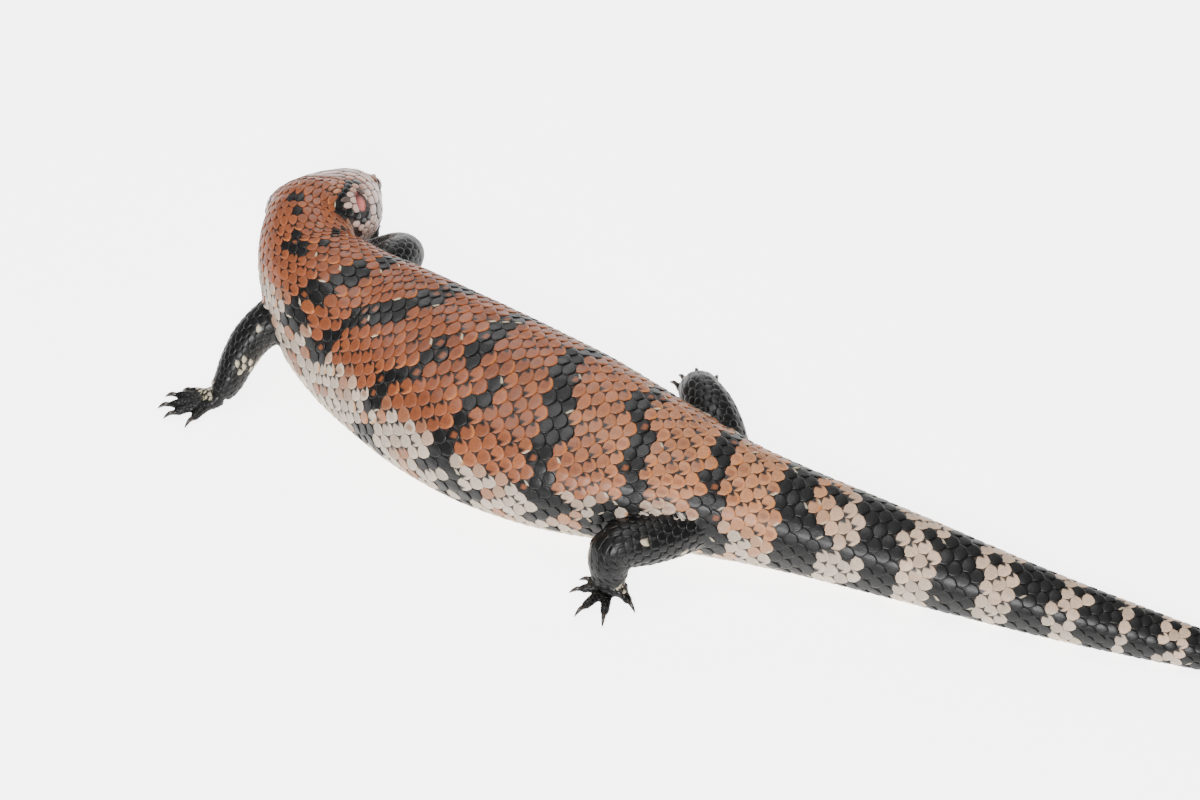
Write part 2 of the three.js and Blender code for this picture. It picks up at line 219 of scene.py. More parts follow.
# Lights as name, place and aim in metres, size and power
LIGHTS = [
    ("key", (-0.5, 0.75, 0.75), (0, 0, 0.02), (0.5, 0.35), 13),
    ("top", (0.25, -0.1, 1.1), (0, 0, 0), (0.8, 0.5), 7),
    ("rim", (0.6, -0.8, 0.6), (0, 0, 0.02), (0.5, 0.4), 3),
]
WORLD_LIGHT = 0.3
FLOOR_GLOW = 1.3  # what the floor gives the animal
FLOOR_SEEN = 4.5  # and what it gives the camera, as the white ground of the photograph
FLOOR_HALF = 6  # metres

rng = np.random.default_rng(SEED)


def linear(colour):
    """The scene colour of a colour as seen."""
    share = np.asarray(colour, float) / 255
    return np.where(share <= 0.04045, share / 12.92, ((share + 0.055) / 1.055) ** 2.4)


def blend_steps(low, high, x):
    """0 below low, 1 above high, and a smooth rise between."""
    t = np.clip((x - low) / (high - low), 0, 1)
    return t * t * (3 - 2 * t)


def mix(a, b, share):
    """Colour a turned into colour b by share, for arrays of places."""
    share = np.asarray(share, float)[..., None]
    return np.asarray(a, float) * (1 - share) + np.asarray(b, float) * share


def waves(points, size, seed):
    """Smooth noise from -1 to 1 at points, in swells of about size."""
    draw = np.random.default_rng(seed)
    total = np.zeros(points.shape[:-1])
    turns = 6
    pace = 2 * math.pi / size
    for _ in range(turns):
        way = draw.normal(size=points.shape[-1])
        way /= np.linalg.norm(way)
        total += np.sin(points @ way * pace * draw.uniform(0.7, 1.5) + draw.uniform(0, 6.28))
    return total / math.sqrt(turns) / 1.4


def spline(rows, u):
    """Rows at the places u, by the same Catmull-Rom spline as the solids."""
    rows = np.asarray(rows, float)
    last = len(rows) - 1
    u = np.clip(u, 0, last)
    i = np.minimum(u.astype(int), last - 1)
    t = (u - i)[:, None]
    a, b, c, d = (rows[np.clip(i + k, 0, last)] for k in (-1, 0, 1, 2))
    slope_in = (c - a) / 2
    slope_out = (d - b) / 2
    rise = c - b
    bend = 3 * rise - 2 * slope_in - slope_out
    twist = slope_in + slope_out - 2 * rise
    return b + t * (slope_in + t * (bend + t * twist))


def unit(v):
    """A direction of length one."""
    return v / np.maximum(np.linalg.norm(v, axis=-1, keepdims=True), 1e-12)


def oval(phi, width, up, down, top_power, bottom_power):
    """A section's point at the angle phi from the crown: how far to the right, and how far up."""
    right = np.sin(phi)
    rise = np.cos(phi)
    power = 2 / np.where(rise >= 0, top_power, bottom_power)
    high = np.where(rise >= 0, up, down)
    return (
        np.sign(right) * np.abs(right) ** power * width,
        np.sign(rise) * np.abs(rise) ** power * high,
    )


class Loft:
    """A smooth tube along stations of centre, half width, height above and depth below, in mm."""

    STEPS = 16

    def __init__(self, rows, top_power=2.0, bottom_power=2.0):
        self.powers = (top_power, bottom_power)
        u = np.linspace(0, len(rows) - 1, (len(rows) - 1) * self.STEPS + 1)
        table = spline(rows, u)
        near = 0.05
        along = unit(spline(rows, u + near)[:, :3] - spline(rows, u - near)[:, :3])
        side = unit(np.cross([0, 0, 1], along))
        self.table = np.hstack([table, side, np.cross(along, side)])
        stretches = np.linalg.norm(np.diff(table[:, :3], axis=0), axis=1)
        self.arc = np.concatenate([[0], np.cumsum(stretches)])
        self.length = self.arc[-1]

    def at(self, s):
        """The tube's numbers at the lengths s along it."""
        return np.stack([np.interp(s, self.arc, column) for column in self.table.T], axis=-1)

    def girth(self, s):
        """The mean radius at s."""
        row = self.at(s)
        return (row[..., 3] * 2 + row[..., 4] + row[..., 5]) / 4

    def surface(self, s, phi):
        """Points on the tube at the lengths s and the angles phi from its crown, in radians."""
        row = self.at(s)
        right, rise = oval(phi, row[..., 3], row[..., 4], row[..., 5], *self.powers)
        return row[..., :3] + row[..., 6:9] * right[..., None] + row[..., 9:12] * rise[..., None]


class HeadSurface:
    """The head's skin at the lengths x from the back of the skull and the angles phi from the crown."""

    length = HEAD[-1][0]
    TOP_POWER = 2.5
    BOTTOM_POWER = 2.2

    def __init__(self):
        u = np.linspace(0, len(HEAD) - 1, 200)
        self.table = spline(HEAD, u)
        turn = Matrix.Rotation(HEAD_YAW, 3, "Z") @ Matrix.Rotation(HEAD_PITCH, 3, "Y")
        self.turn = np.array(turn @ Matrix.Rotation(HEAD_ROLL, 3, "X"))

    def at(self, x):
        """The head's numbers at the lengths x along it."""
        return np.stack([np.interp(x, self.table[:, 0], column) for column in self.table.T], axis=-1)

    def place(self, local):
        """Points of the head's own frame in the row frame."""
        return np.asarray(local, float) @ self.turn.T + np.array(HEAD_PLACE)

    def local(self, points):
        """Points of the row frame in the head's own frame."""
        return (np.asarray(points, float) - np.array(HEAD_PLACE)) @ self.turn

    def surface(self, x, phi):
        """Points on the head's skin."""
        row = self.at(x)
        right, rise = oval(phi, row[..., 2], row[..., 3], row[..., 4], self.TOP_POWER, self.BOTTOM_POWER)
        return self.place(np.stack([np.broadcast_to(x, right.shape), -right, row[..., 1] + rise], axis=-1))


TRUNK_LOFT = Loft(TRUNK, *TRUNK_POWERS)
HEAD_SURFACE = HeadSurface()


def mirrored(place, hand):
    """A place of the head's left side, or for hand -1 the same on its right side."""
    return np.array([place[0], place[1] * hand, place[2]])


def normals_on(shape, s, phi):
    """The outward directions of a shape's skin."""
    ds = 0.3
    dphi = 0.02
    along = shape.surface(s + ds, phi) - shape.surface(s - ds, phi)
    across = shape.surface(s, phi + dphi) - shape.surface(s, phi - dphi)
    return unit(np.cross(along, across))


def mesh_object(name, points, faces, material):
    """A smooth mesh piece from points in mm."""
    mesh = bpy.data.meshes.new(name)
    mesh.from_pydata((np.asarray(points) * MM).tolist(), [], faces)
    mesh.materials.append(material)
    mesh.polygons.foreach_set("use_smooth", [True] * len(mesh.polygons))
    return linked(name, mesh)


def linked(name, data):
    """A new object in the scene."""
    made = bpy.data.objects.new(name, data)
    bpy.context.scene.collection.objects.link(made)
    return made


def set_colours(piece, colours):
    """Colours as seen, one for each point, kept on the mesh as its pigment."""
    layer = piece.data.color_attributes.new("pigment", "FLOAT_COLOR", "POINT")
    values = np.ones((len(colours), 4), np.float32)
    values[:, :3] = linear(colours)
    layer.data.foreach_set("color", values.ravel())


# Materials


GRAIN_DEPTH = 0.2  # mm


def node(tree, kind, **values):
    """A new node of a material."""
    made = tree.nodes.new(kind)
    for key, value in values.items():
        setattr(made, key, value)
    return made


def new_material(name):
    """A material, its tree and its shader."""
    material = bpy.data.materials.new(name)
    material.use_nodes = True
    tree = material.node_tree
    return material, tree, tree.nodes["Principled BSDF"]


def noise(tree, scale, detail=2):
    """Noise by the place in the scene, with about scale swells to a metre."""
    place = node(tree, "ShaderNodeNewGeometry")
    made = node(tree, "ShaderNodeTexNoise")
    set_inputs(made, {"Scale": scale, "Detail": detail})
    tree.links.new(place.outputs["Position"], made.inputs["Vector"])
    return made.outputs["Fac"]


def set_inputs(made, values):
    """Sets inputs of a node by their names."""
    for key, value in values.items():
        made.inputs[key].default_value = value


def ramped(tree, value, stops):
    """The colour for a value, between stops of (value, scene colour)."""
    ramp = node(tree, "ShaderNodeValToRGB")
    made = ramp.color_ramp.elements
    made[1].position = stops[-1][0]
    for position, _ in stops[1:-1]:
        made.new(position)
    for stop, (_, colour) in zip(made, stops):
        stop.color = (*np.clip(colour, 0, 1), 1)
    tree.links.new(value, ramp.inputs["Fac"])
    return ramp.outputs["Color"]


def ranged(tree, value, low, high):
    """A value from 0 to 1 as one from low to high."""
    made = node(tree, "ShaderNodeMapRange")
    set_inputs(made, {"To Min": low, "To Max": high})
    tree.links.new(value, made.inputs["Value"])
    return made.outputs["Result"]


def add_relief(tree, shader, height, strength):
    """A fine grain in the surface."""
    relief = node(tree, "ShaderNodeBump")
    set_inputs(relief, {"Strength": strength, "Distance": GRAIN_DEPTH * MM})
    tree.links.new(height, relief.inputs["Height"])
    tree.links.new(relief.outputs["Normal"], shader.inputs["Normal"])


def scaly_material(name, roughness, coat, grain, bump):
    """Pigment from the mesh, with fine mottling, uneven gloss and a grain in the surface."""
    material, tree, shader = new_material(name)
    link = tree.links.new
    pigment = node(tree, "ShaderNodeAttribute", attribute_name="pigment")
    mottle = noise(tree, grain, detail=5)
    dye = node(tree, "ShaderNodeVectorMath", operation="SCALE")
    link(pigment.outputs["Color"], dye.inputs[0])
    link(ranged(tree, mottle, 0.64, 1.34), dye.inputs["Scale"])
    link(dye.outputs["Vector"], shader.inputs["Base Color"])
    patches = noise(tree, grain / 4)
    link(ranged(tree, patches, roughness * 0.75, roughness * 1.35), shader.inputs["Roughness"])
    set_inputs(shader, {"Specular IOR Level": 0.35, "Coat Weight": coat, "Coat Roughness": 0.22})
    add_relief(tree, shader, mottle, bump)
    return material


def plain_material(name, colour, roughness, coat=0.0, grain=900, spread=0.25):
    """One colour with a faint mottle and grain."""
    material, tree, shader = new_material(name)
    mottle = noise(tree, grain)
    dye = ramped(tree, mottle, [(0, linear(colour) * (1 - spread)), (1, linear(colour) * (1 + spread))])
    tree.links.new(dye, shader.inputs["Base Color"])
    set_inputs(shader, {"Roughness": roughness, "Coat Weight": coat})
    add_relief(tree, shader, mottle, 0.15)
    return material


# The one skin


SKIN_SWELL = 0.24  # mm that each flesh node grows, so that they join over the cuts
SWELL_BACK = 0.6  # of that, how much the joined skin draws back
SKIN_VOXEL = 0.75  # mm
SKIN_SHADE = 0.34  # how dark the skin between the scales is painted, of their colour, as painted shade in the gaps
SKIN_STEPS = [
    ("WELD", {"merge_threshold": 0.00001}),
    ("REMESH", {"mode": "VOXEL", "voxel_size": SKIN_VOXEL * MM, "use_smooth_shade": True}),
    ("SMOOTH", {"factor": 0.5, "iterations": 5}),
]


def swollen_flesh(frame, flesh):
    """The points and faces of the flesh nodes, each grown a little."""
    points = []
    faces = []
    for name in flesh:
        mesh = frame["nodes"][name].data
        start = len(points)
        normals = {}
        for face in mesh.polygons:
            for v in face.vertices:
                key = tuple(round(c, 6) for c in mesh.vertices[v].co)
                normals[key] = normals.get(key, Vector()) + face.normal * face.area
        for v in mesh.vertices:
            key = tuple(round(c, 6) for c in v.co)
            points.append(v.co + normals[key].normalized() * (SKIN_SWELL * MM))
        faces.extend([start + v for v in face.vertices] for face in mesh.polygons)
    return points, faces


def make_skin(frame, flesh, material):
    """One closed surface round all the flesh nodes."""
    points, faces = swollen_flesh(frame, flesh)
    mesh = bpy.data.meshes.new("skin")
    mesh.from_pydata(points, [], faces)
    skin = linked("skin", mesh)
    for kind, values in SKIN_STEPS:
        step = skin.modifiers.new(kind, kind)
        for key, value in values.items():
            setattr(step, key, value)
    baked = bpy.data.meshes.new_from_object(skin.evaluated_get(bpy.context.evaluated_depsgraph_get()))
    skin.modifiers.clear()
    skin.data = baked
    keep_largest(baked)
    co = vertex_values(baked, "co") - vertex_values(baked, "normal") * (SKIN_SWELL * MM * SWELL_BACK)
    co[:, 2] = np.maximum(co[:, 2], 0)
    baked.vertices.foreach_set("co", co.ravel())
    baked.materials.clear()
    baked.materials.append(material)
    baked.update()
    return skin


def vertex_values(mesh, name):
    """The places or the normals of a mesh's points, one row for each."""
    values = np.empty(len(mesh.vertices) * 3)
    mesh.vertices.foreach_get(name, values)
    return values.reshape(-1, 3)


def keep_largest(mesh):
    """Drops every surface but the one with most points."""
    bm = bmesh.new()
    bm.from_mesh(mesh)
    left = set(bm.verts)
    groups = []
    while left:
        group = [left.pop()]
        for v in group:
            near = left.intersection(edge.other_vert(v) for edge in v.link_edges)
            left -= near
            group.extend(near)
        groups.append(group)
    for group in sorted(groups, key=len)[:-1]:
        bmesh.ops.delete(bm, geom=group, context="VERTS")
    bm.to_mesh(mesh)
    bm.free()


# Scales

# The points of a scale as shares along it and across it
FINE = (np.array([0, 0.3, 0.48, 0.63, 0.78, 0.9, 1.0]), np.linspace(-1, 1, 9))
COARSE = (np.array([0, 0.4, 0.65, 0.86, 1.0]), np.linspace(-1, 1, 5))
# A scale's shape. Lengths along it are shares of the step between rings, and heights are in mm
ROOT_AHEAD = 0.95  # how far the root lies ahead of the scale's middle
TIP_BEHIND = 0.78
EDGE_CURVE = 0.44  # how far the corners of the free edge draw back
EDGE_FLAT = 0.22  # share of the free edge that runs straight across
ROOT_SINK = -0.36
TIP_RISE = 0.27
CROWN_RISE = 0.08
THICKNESS = 0.27
SIDE_OVERLAP = 1.02  # width of a scale, of its share of the ring
LIFT = (0.85, 1.15)  # how much the heights of single scales differ
FLOOR_ROOM = 0.03  # mm that every plate keeps over the floor
UNDERSIDE_SHADE = 0.8  # how dark a scale's underside is painted, as painted shade
SKULL_BOX = 25  # mm to the sides, up and down that the skull reaches at most
SHIELDS_MARGIN = 0.8  # mm ahead of SHIELDS_END, where the last of the trunk's scales may lie
EAR_MARGIN = 0.9  # mm round the ear's opening that is left free of scales
MAP_MARGIN = 0.02  # of the baked map, left free at each edge
SCALE_PATCH = 0.0016  # of the baked map, for each share of a scale
SHADES = []  # one place and colour for each scale, for the skin under it


def scale_template(shares):
    """A scale's points as shares: along it from root to free edge, across it, and its height in mm."""
    a, b = np.meshgrid(*shares, indexing="ij")
    corner = np.clip((np.abs(b) - EDGE_FLAT) / (1 - EDGE_FLAT), 0, 1)
    round_off = EDGE_CURVE * corner**1.25 * blend_steps(0.2, 1.0, a)
    along = -ROOT_AHEAD + a * (ROOT_AHEAD + TIP_BEHIND) - round_off
    across = b * (0.86 + 0.14 * np.sin(a * math.pi))
    height = ROOT_SINK + (TIP_RISE - ROOT_SINK) * np.minimum(a * 1.25, 1) ** 0.8
    height += CROWN_RISE * (1 - b**2) * np.sin(a * math.pi)
    return a.ravel(), b.ravel(), along.ravel(), across.ravel(), height.ravel()


def plate_faces(rows, columns):
    """Faces of a closed plate whose top is a grid and whose underside is the same grid again."""
    top = np.arange(rows * columns).reshape(rows, columns)
    under = top + rows * columns
    faces = []
    for i in range(rows - 1):
        for j in range(columns - 1):
            faces.append([top[i, j], top[i, j + 1], top[i + 1, j + 1], top[i + 1, j]])
            faces.append([under[i, j], under[i + 1, j], under[i + 1, j + 1], under[i, j + 1]])
    rim = [*top[0, :-1], *top[:-1, -1], *top[-1, :0:-1], *top[:0:-1, 0]]
    low = rows * columns
    for k, v in enumerate(rim):
        w = rim[(k + 1) % len(rim)]
        faces.append([w, v, v + low, w + low])
    return np.array(faces)


class Skin:
    """Where the skin's surface is, for setting plates down on it."""

    REACH = 1.6

    def __init__(self, piece):
        self.tree = BVHTree.FromObject(piece, bpy.context.evaluated_depsgraph_get())

    def settle(self, points):
        """The nearest places on the skin, in mm, and how far off each point was."""
        flat = points.reshape(-1, 3)
        found = np.empty_like(flat)
        away = np.empty(len(flat))
        for i, p in enumerate(flat):
            place, _, _, distance = self.tree.find_nearest(Vector(p * MM))
            found[i] = place
            away[i] = distance
        return (found / MM).reshape(points.shape), (away / MM).reshape(points.shape[:-1])


def coat(name, skin, shape, sites, around, step, material, paint, shares=FINE, size=1.0, clear=None):
    """A piece of overlapping solid scales at sites of (length, angle) on a shape.

    around is their count in a ring. step gives their lengths, paint their colours and size their thickness.
    clear says where they may be.
    """
    a, b, along, across, height = scale_template(shares)
    s, phi = sites.T
    width = SIDE_OVERLAP * 2 * math.pi / around
    point_s = s[:, None] + along[None] * step[:, None]
    point_phi = phi[:, None] + across[None] * width / 2
    base = shape.surface(point_s, point_phi)
    out = normals_on(shape, point_s, point_phi)
    out[out.sum(axis=-1) == 0] = (0, 0, 1)
    centre, gap = skin.settle(shape.surface(s, phi))
    keep = gap < Skin.REACH
    if clear:
        keep &= clear(centre)
    settled, far = skin.settle(base[keep])
    close = far.max(axis=1) < Skin.REACH * 2
    kept = np.flatnonzero(keep)[close]
    settled = settled[close]
    out = out[kept]
    lift = rng.uniform(*LIFT, len(kept))[:, None] * size
    top = settled + out * (height[None] * lift)[..., None]
    under = settled + out * (height[None] * lift - THICKNESS * size)[..., None]
    points = np.concatenate([top, under], axis=1)
    points[..., 2] = np.maximum(points[..., 2], FLOOR_ROOM)
    faces = plate_faces(len(shares[0]), len(shares[1]))
    starts = np.arange(len(kept)) * points.shape[1]
    all_faces = (faces[None] + starts[:, None, None]).reshape(-1, 4)
    piece = mesh_object(name, points.reshape(-1, 3), all_faces.tolist(), material)
    colours = paint(s[kept], phi[kept], a, b, centre[kept])
    # The undersides get the same colours, darkened as painted shade
    set_colours(piece, np.concatenate([colours, colours * UNDERSIDE_SHADE], axis=1).reshape(-1, 3))
    places = on_map(np.stack([s[kept] / shape.length, phi[kept] / (2 * math.pi) % 1], axis=-1))
    patch = np.stack([along, across], axis=-1) * SCALE_PATCH
    bake_map(piece, (places[:, None] + np.concatenate([patch, patch])[None]).reshape(-1, 2))
    middle = len(a) // 2
    SHADES.extend(zip(settled[:, middle], colours[:, middle]))
    return piece


def clear_of_head(points):
    """Whether places lie behind the head's shields and off the openings of the ears."""
    local = HEAD_SURFACE.local(points)
    local[..., 1] = np.abs(local[..., 1])
    near = (np.abs(local[..., 1:]) < SKULL_BOX).all(axis=-1)
    skull = near & (local[..., 0] > SHIELDS_END + SHIELDS_MARGIN)
    ear = np.linalg.norm((local - EAR_PLACE) / (np.array(EAR_SIZE) + EAR_MARGIN), axis=-1) < 1
    return ~(skull | ear)


def on_map(shares):
    """Places on the baked map, from shares of 0 to 1 of its width and height."""
    return MAP_MARGIN + (1 - 2 * MAP_MARGIN) * shares


def bake_map(piece, uv):
    """The map a piece's pattern is baked through, one place for each point."""
    layer = piece.data.uv_layers.new(name="OFBake")
    index = np.empty(len(piece.data.loops), np.int32)
    piece.data.loops.foreach_get("vertex_index", index)
    layer.data.foreach_set("uv", uv[index].astype(np.float32).ravel())


def step_at(s):
    """The length from ring to ring at the lengths s along the trunk."""
    return np.interp(s, *zip(*RING_STEP))


def ring_sites(start, end, around, step, ring=0):
    """Places of scales in rings, each turned by half a scale from the last, and where the next would come.

    step gives the length to the next ring.
    """
    sites = []
    s = start
    while s < end:
        for j in range(around):
            sites.append((s, (j + 0.5 * (ring % 2)) / around * 2 * math.pi))
        s += step(s)
        ring += 1
    return np.array(sites), s, ring


def mark_depth(s, degrees, radius):
    """How far inside a black mark each place is, in mm. Outside it is below zero."""
    best = np.full(s.shape, -99.0)
    for line, half in MARKS:
        for (s1, d1), (s2, d2) in zip(line, line[1:]):
            scale = radius * math.pi / 180
            x, y = s - s1, (degrees - d1) * scale
            ex, ey = s2 - s1, (d2 - d1) * scale
            t = np.clip((x * ex + y * ey) / np.maximum(ex**2 + ey**2, 1e-9), 0, 1)
            away = np.hypot(x - t * ex, y - t * ey)
            best = np.maximum(best, half - away)
    return best


def trunk_tone(s, side, centre, luck):
    """The colour under the marks: rust in front, tan behind, pale on the flanks, the belly and the tail."""
    wobble = waves(centre, 34, 3)
    tone = mix(np.broadcast_to(RUST, (len(s), 3)), RUST_DARK, luck[0] * 0.55)
    tone = mix(tone, TAN, blend_steps(*TAN_STRETCH, s + 8 * wobble) * 0.9)
    tone = mix(tone, TAIL_PALE, blend_steps(*PALE_STRETCH, s + 5 * wobble))
    flank = blend_steps(*FLANK_SIDE, side + 7 * wobble + 5 * (luck[1] - 0.5) - 16 * blend_steps(60, 20, s))
    rusty = blend_steps(0.2, 0.7, waves(centre, 11, 13) + 0.9 * (luck[2] - 0.5)) * (s < TAIL_START)
    tone = mix(tone, FLANK_PALE, flank * (1 - 0.72 * rusty))
    tone = mix(tone, BELLY_PALE, blend_steps(*BELLY_SIDE, side + 5 * wobble))
    local = HEAD_SURFACE.local(centre)
    crown = np.degrees(np.arctan2(np.abs(local[:, 1]), local[:, 2] + 2))
    cheek = blend_steps(-9, -6, local[:, 0]) * blend_steps(52, 64, crown)
    tone = mix(tone, HEAD_SIDE, cheek)
    return tone * (0.92 + 0.16 * luck[3])[:, None]


def trunk_black(s, turn, centre, luck):
    """How deep in black each scale is, in mm. It is black above zero."""
    side = np.abs(turn)
    before_tail = s < TAIL_START
    jitter = 1.5 * waves(centre, 9, 5) + 1.4 * (luck[4] - 0.5) - 0.5 - 0.7 * (s < 56)
    depth = mark_depth(s, turn, TRUNK_LOFT.girth(s)) + jitter
    # On the flanks and the belly the marks break up and scatter
    scatter = blend_steps(56, 72, side) * (1 - 0.6 * blend_steps(96, 116, side))
    depth += scatter * (5.4 * waves(centre, 12, 8) + 1.6) * before_tail * (s > NAPE_END)
    # The lower flank before the hind leg is mostly black
    low = blend_steps(82, 92, side) * (1 - blend_steps(104, 116, side)) * blend_steps(120, 160, s)
    depth += low * (2.6 + 2 * waves(centre, 10, 18)) * before_tail
    # Lines of black run between the tail's pale scales
    lines = (s > TAIL_LINES[0]) & (s < TAIL_LINES[1])
    between = np.abs(((turn + 20) / 62) % 1 - 0.5) < 0.13
    return depth + (lines & between & (luck[5] < 0.85)) * 6.0


def trunk_paint(s, phi, a, b, centre):
    """The pattern of the trunk and tail, scale by scale."""
    turn = np.degrees((phi + math.pi) % (2 * math.pi) - math.pi)
    side = np.abs(turn)
    draw = np.random.default_rng(int(s[0] * 10) + len(s))
    luck = draw.uniform(size=(8, len(s)))
    tone = trunk_tone(s, side, centre, luck)
    depth = trunk_black(s, turn, centre, luck)
    black = depth > 0
    toward = b[None] * np.sign(luck[0] - 0.5)[:, None]  # across the scale, to the side of its accents
    colours = np.broadcast_to(tone[:, None], (len(s), len(a), 3))
    # The free edge is a little lighter
    colours = mix(colours, tone[:, None] * 1.08, blend_steps(0.7, 0.95, a)[None])
    # A darker streak runs down the middle of most scales of the back
    streak = (np.abs(b) < 0.3) * (blend_steps(0.3, 0.5, a) - blend_steps(0.75, 0.9, a))
    colours = mix(colours, RUST_DARK, streak[None] * (0.5 * luck[5] * (side < 60) * (s < 250))[:, None])
    # Beside black some free edges are orange, and many scales have a black corner at the root
    bordering = (depth > -4) & (depth < 0) & (side < 80) & (s < TAIL_START) & (luck[6] < 0.4)
    warm = (a > 0.88)[None] & (toward > -0.3) & bordering[:, None]
    colours = mix(colours, ORANGE, warm * 0.55)
    cornered = (luck[7] < 0.5) & (side < 95) & (s > NAPE_END)
    colours = mix(colours, BLACK, ((a < 0.7)[None] & (toward > 0.45) & cornered[:, None]) * 0.9)
    colours = mix(colours, BLACK, black[:, None])
    # Some black scales keep a rust heart, and some scales at the edge of black a cream corner
    hearted = (luck[1] < 0.24) & (side < 70) & (s > 40) & (s < 225) & black
    heart = (np.abs(b) < 0.4) & (a > 0.55) & (a < 0.85)
    colours = mix(colours, RUST, (heart[None] & hearted[:, None]) * 0.85)
    tipped = ((luck[3] < 0.12) | ((luck[3] < 0.4) & (side > 56))) & (np.abs(depth) < 2.6)
    colours = mix(colours, CREAM, ((a > 0.88)[None] & (toward > 0.4) & tipped[:, None]) * 0.9)
    return colours


def limb_paint(s, phi, a, b, centre):
    """Black with cream flecks, the same all over a limb."""
    draw = np.random.default_rng(int(abs(centre[0].sum()) * 7) + len(s))
    luck = draw.uniform(size=(3, len(s)))
    tone = np.broadcast_to(BLACK, (len(s), 3)) * (0.85 + 0.5 * luck[0])[:, None]
    colours = np.broadcast_to(tone[:, None], (len(s), len(a), 3))
    patchy = waves(centre, 13, 21) + 0.55 * (luck[1] - 0.5)
    toward = b[None] * np.sign(luck[2] - 0.5)[:, None]
    fleck = (patchy > 0.78)[:, None] & (a > 0.6)[None] & (toward > -0.1)
    return mix(colours, CREAM, fleck * 0.92)


def rounded(rows):
    """Stations of a round tube."""
    return [[x, y, z, r, r, r] for x, y, z, r in rows]


def small_coat(name, loft, rings, skin, material):
    """The coat of a limb, a palm or a toe."""
    start, short, around, step, size = rings
    sites, _, _ = ring_sites(start, loft.length - short, around, lambda _: step)
    steps = np.full(len(sites), step)
    return coat(name, skin, loft, sites, around, steps, material, limb_paint, COARSE, size)


def limb_coat(limb, skin, material):
    """The scales of one limb down to the wrist or ankle, of its palm and of its toes."""
    shape = LIMBS[limb]
    pieces = [small_coat(f"scales_{limb}", Loft(rounded(shape["stations"])), LIMB_RINGS, skin, material)]
    heel, front, half, high = shape["palm"]
    middle = [(h + f) / 2 for h, f in zip(heel, front)]
    palm = [
        [*heel, half * 0.75, high, high],
        [*middle, half, high * 0.95, high],
        [*front, half, high * 0.62, high * 0.8],
    ]
    pieces.append(small_coat(f"scales_{limb}_palm", Loft(palm, *PALM_POWERS), PALM_RINGS, skin, material))
    for number, (root, tip) in enumerate(shape["toes"]):
        toe = Loft(rounded(toe_rows(root, tip)))
        pieces.append(small_coat(f"scales_{limb}_toe_{number + 1}", toe, TOE_RINGS, skin, material))
    return pieces


def toe_rows(root, tip):
    """Stations of a toe, as in the solids."""
    start = np.array([*root, 0.0])
    end = np.array([*tip, 0.0])
    away = unit(end - start)
    knuckle = (start + end) / 2
    return [
        [*(start - away * 2)[:2], 2.6, TOE_RADIUS],
        [*start[:2], 2.6, TOE_RADIUS],
        [*knuckle[:2], 2.5, TOE_RADIUS * 0.95],
        [*end[:2], 1.6, TOE_RADIUS * 0.85],
    ]


def tube(name, loft, sides, rings, material):
    """A closed tube along a loft."""
    s = np.linspace(0, loft.length, rings)
    phi = np.linspace(0, 2 * math.pi, sides, endpoint=False)
    grid_s, grid_phi = np.meshgrid(s, phi, indexing="ij")
    points = loft.surface(grid_s, grid_phi).reshape(-1, 3)
    faces = []
    for i in range(rings - 1):
        for j in range(sides):
            k = (j + 1) % sides
            faces.append([i * sides + j, i * sides + k, (i + 1) * sides + k, (i + 1) * sides + j])
    faces.append(list(range(sides))[::-1])
    faces.append([(rings - 1) * sides + j for j in range(sides)])
    return mesh_object(name, points, faces, material)


def make_claws(limb, material):
    """The five claws of a foot, arched down to the floor."""
    claws = []
    for number, (root, tip) in enumerate(LIMBS[limb]["toes"]):
        end = np.array([*tip, 0.0])
        away = unit(end - np.array([*root, 0.0]))
        rows = [
            [*(end + away * forward)[:2], height, radius * 0.8, radius, radius]
            for forward, height, radius in CLAW
        ]
        claws.append(tube(f"claw_{limb}_{number + 1}", Loft(rows), 10, 12, material))
    return claws


# The head's shields, on a flat map of mm along the head and MAP_WIDTH for each degree from the crown

MAP_WIDTH = 0.28
MAP_START = -16
MAP_END = 58.6
MAP_EDGE = 180 * MAP_WIDTH
EYE_TURN = 66  # degrees from the crown
EAR_TURN = 82
EYE_SPOT = np.array([EYE_PLACE[0], EYE_TURN * MAP_WIDTH])
EAR_SPOT = np.array([EAR_PLACE[0], EAR_TURN * MAP_WIDTH])
EAR_RIM = 0.7  # mm from the opening of the ear to the scales round it
EAR_REACH = np.array([EAR_SIZE[0], EAR_SIZE[2]]) + EAR_RIM
LID_REACH = 5.4  # mm from the middle of the eye to the shields round it
MOUTH_GAP = 0.32  # mm from the line of the mouth to the lip shields
MOUTH_SEAM_SHADE_HALF = 0.55  # mm, half the width of the painted shade along the seam of the mouth
EYE_CLEAR = 4.4  # mm round the middle of the eye without the middle of a shield
EAR_CLEAR = 0.9  # the same round the ear, as a share of EAR_REACH
SCALE_CLEAR = 2.3  # mm from the trunk's scales to the shields behind SHIELDS_END
SEED_JITTER = 0.12
SHIELD_GAP = 0.08  # mm that a shield is drawn in from its cell
SHIELD_STRETCH = (-14, 74)  # mm along the head where their part of the baked map starts, and how long it is
# mm that a shield's points may move to the skin: on the snout and elsewhere
SNOUT_REACH = 4.5
SHIELD_REACH = 3
JOWL_START = 4.4  # mm from the back of the skull to the first of the small scales behind the shields
JOWL_STEP = 3.0
# Rows of shields from the brow down to the throat: first length, step back, degrees from the crown and count
SEED_ROWS = [(39.8, 3.3, 47, 5), (40, 3.7, 85, 5), (56.5, 4.6, 100, 9)]
SEED_ROWS += [(56, 4.6, 119, 9), (53, 6, 140, 6), (52, 5.4, 163, 7)]
SHIELD_POINTS = 18  # round each ring of a shield
# A shield's rings from its foot to its crown: share of its outline, level over the skin in mm, and how dark
# it is painted, as painted shade on the shield's sides
SHIELD_RINGS = [(1.0, -0.3, 0.5), (1.0, 0.14, 0.62), (0.86, 0.3, 0.95), (0.5, 0.38, 1.0)]
SHIELD_CROWN = 0.4  # mm from the skin to its middle
SHIELD_PATCH = 0.0005  # of the baked map, for each mm of a shield
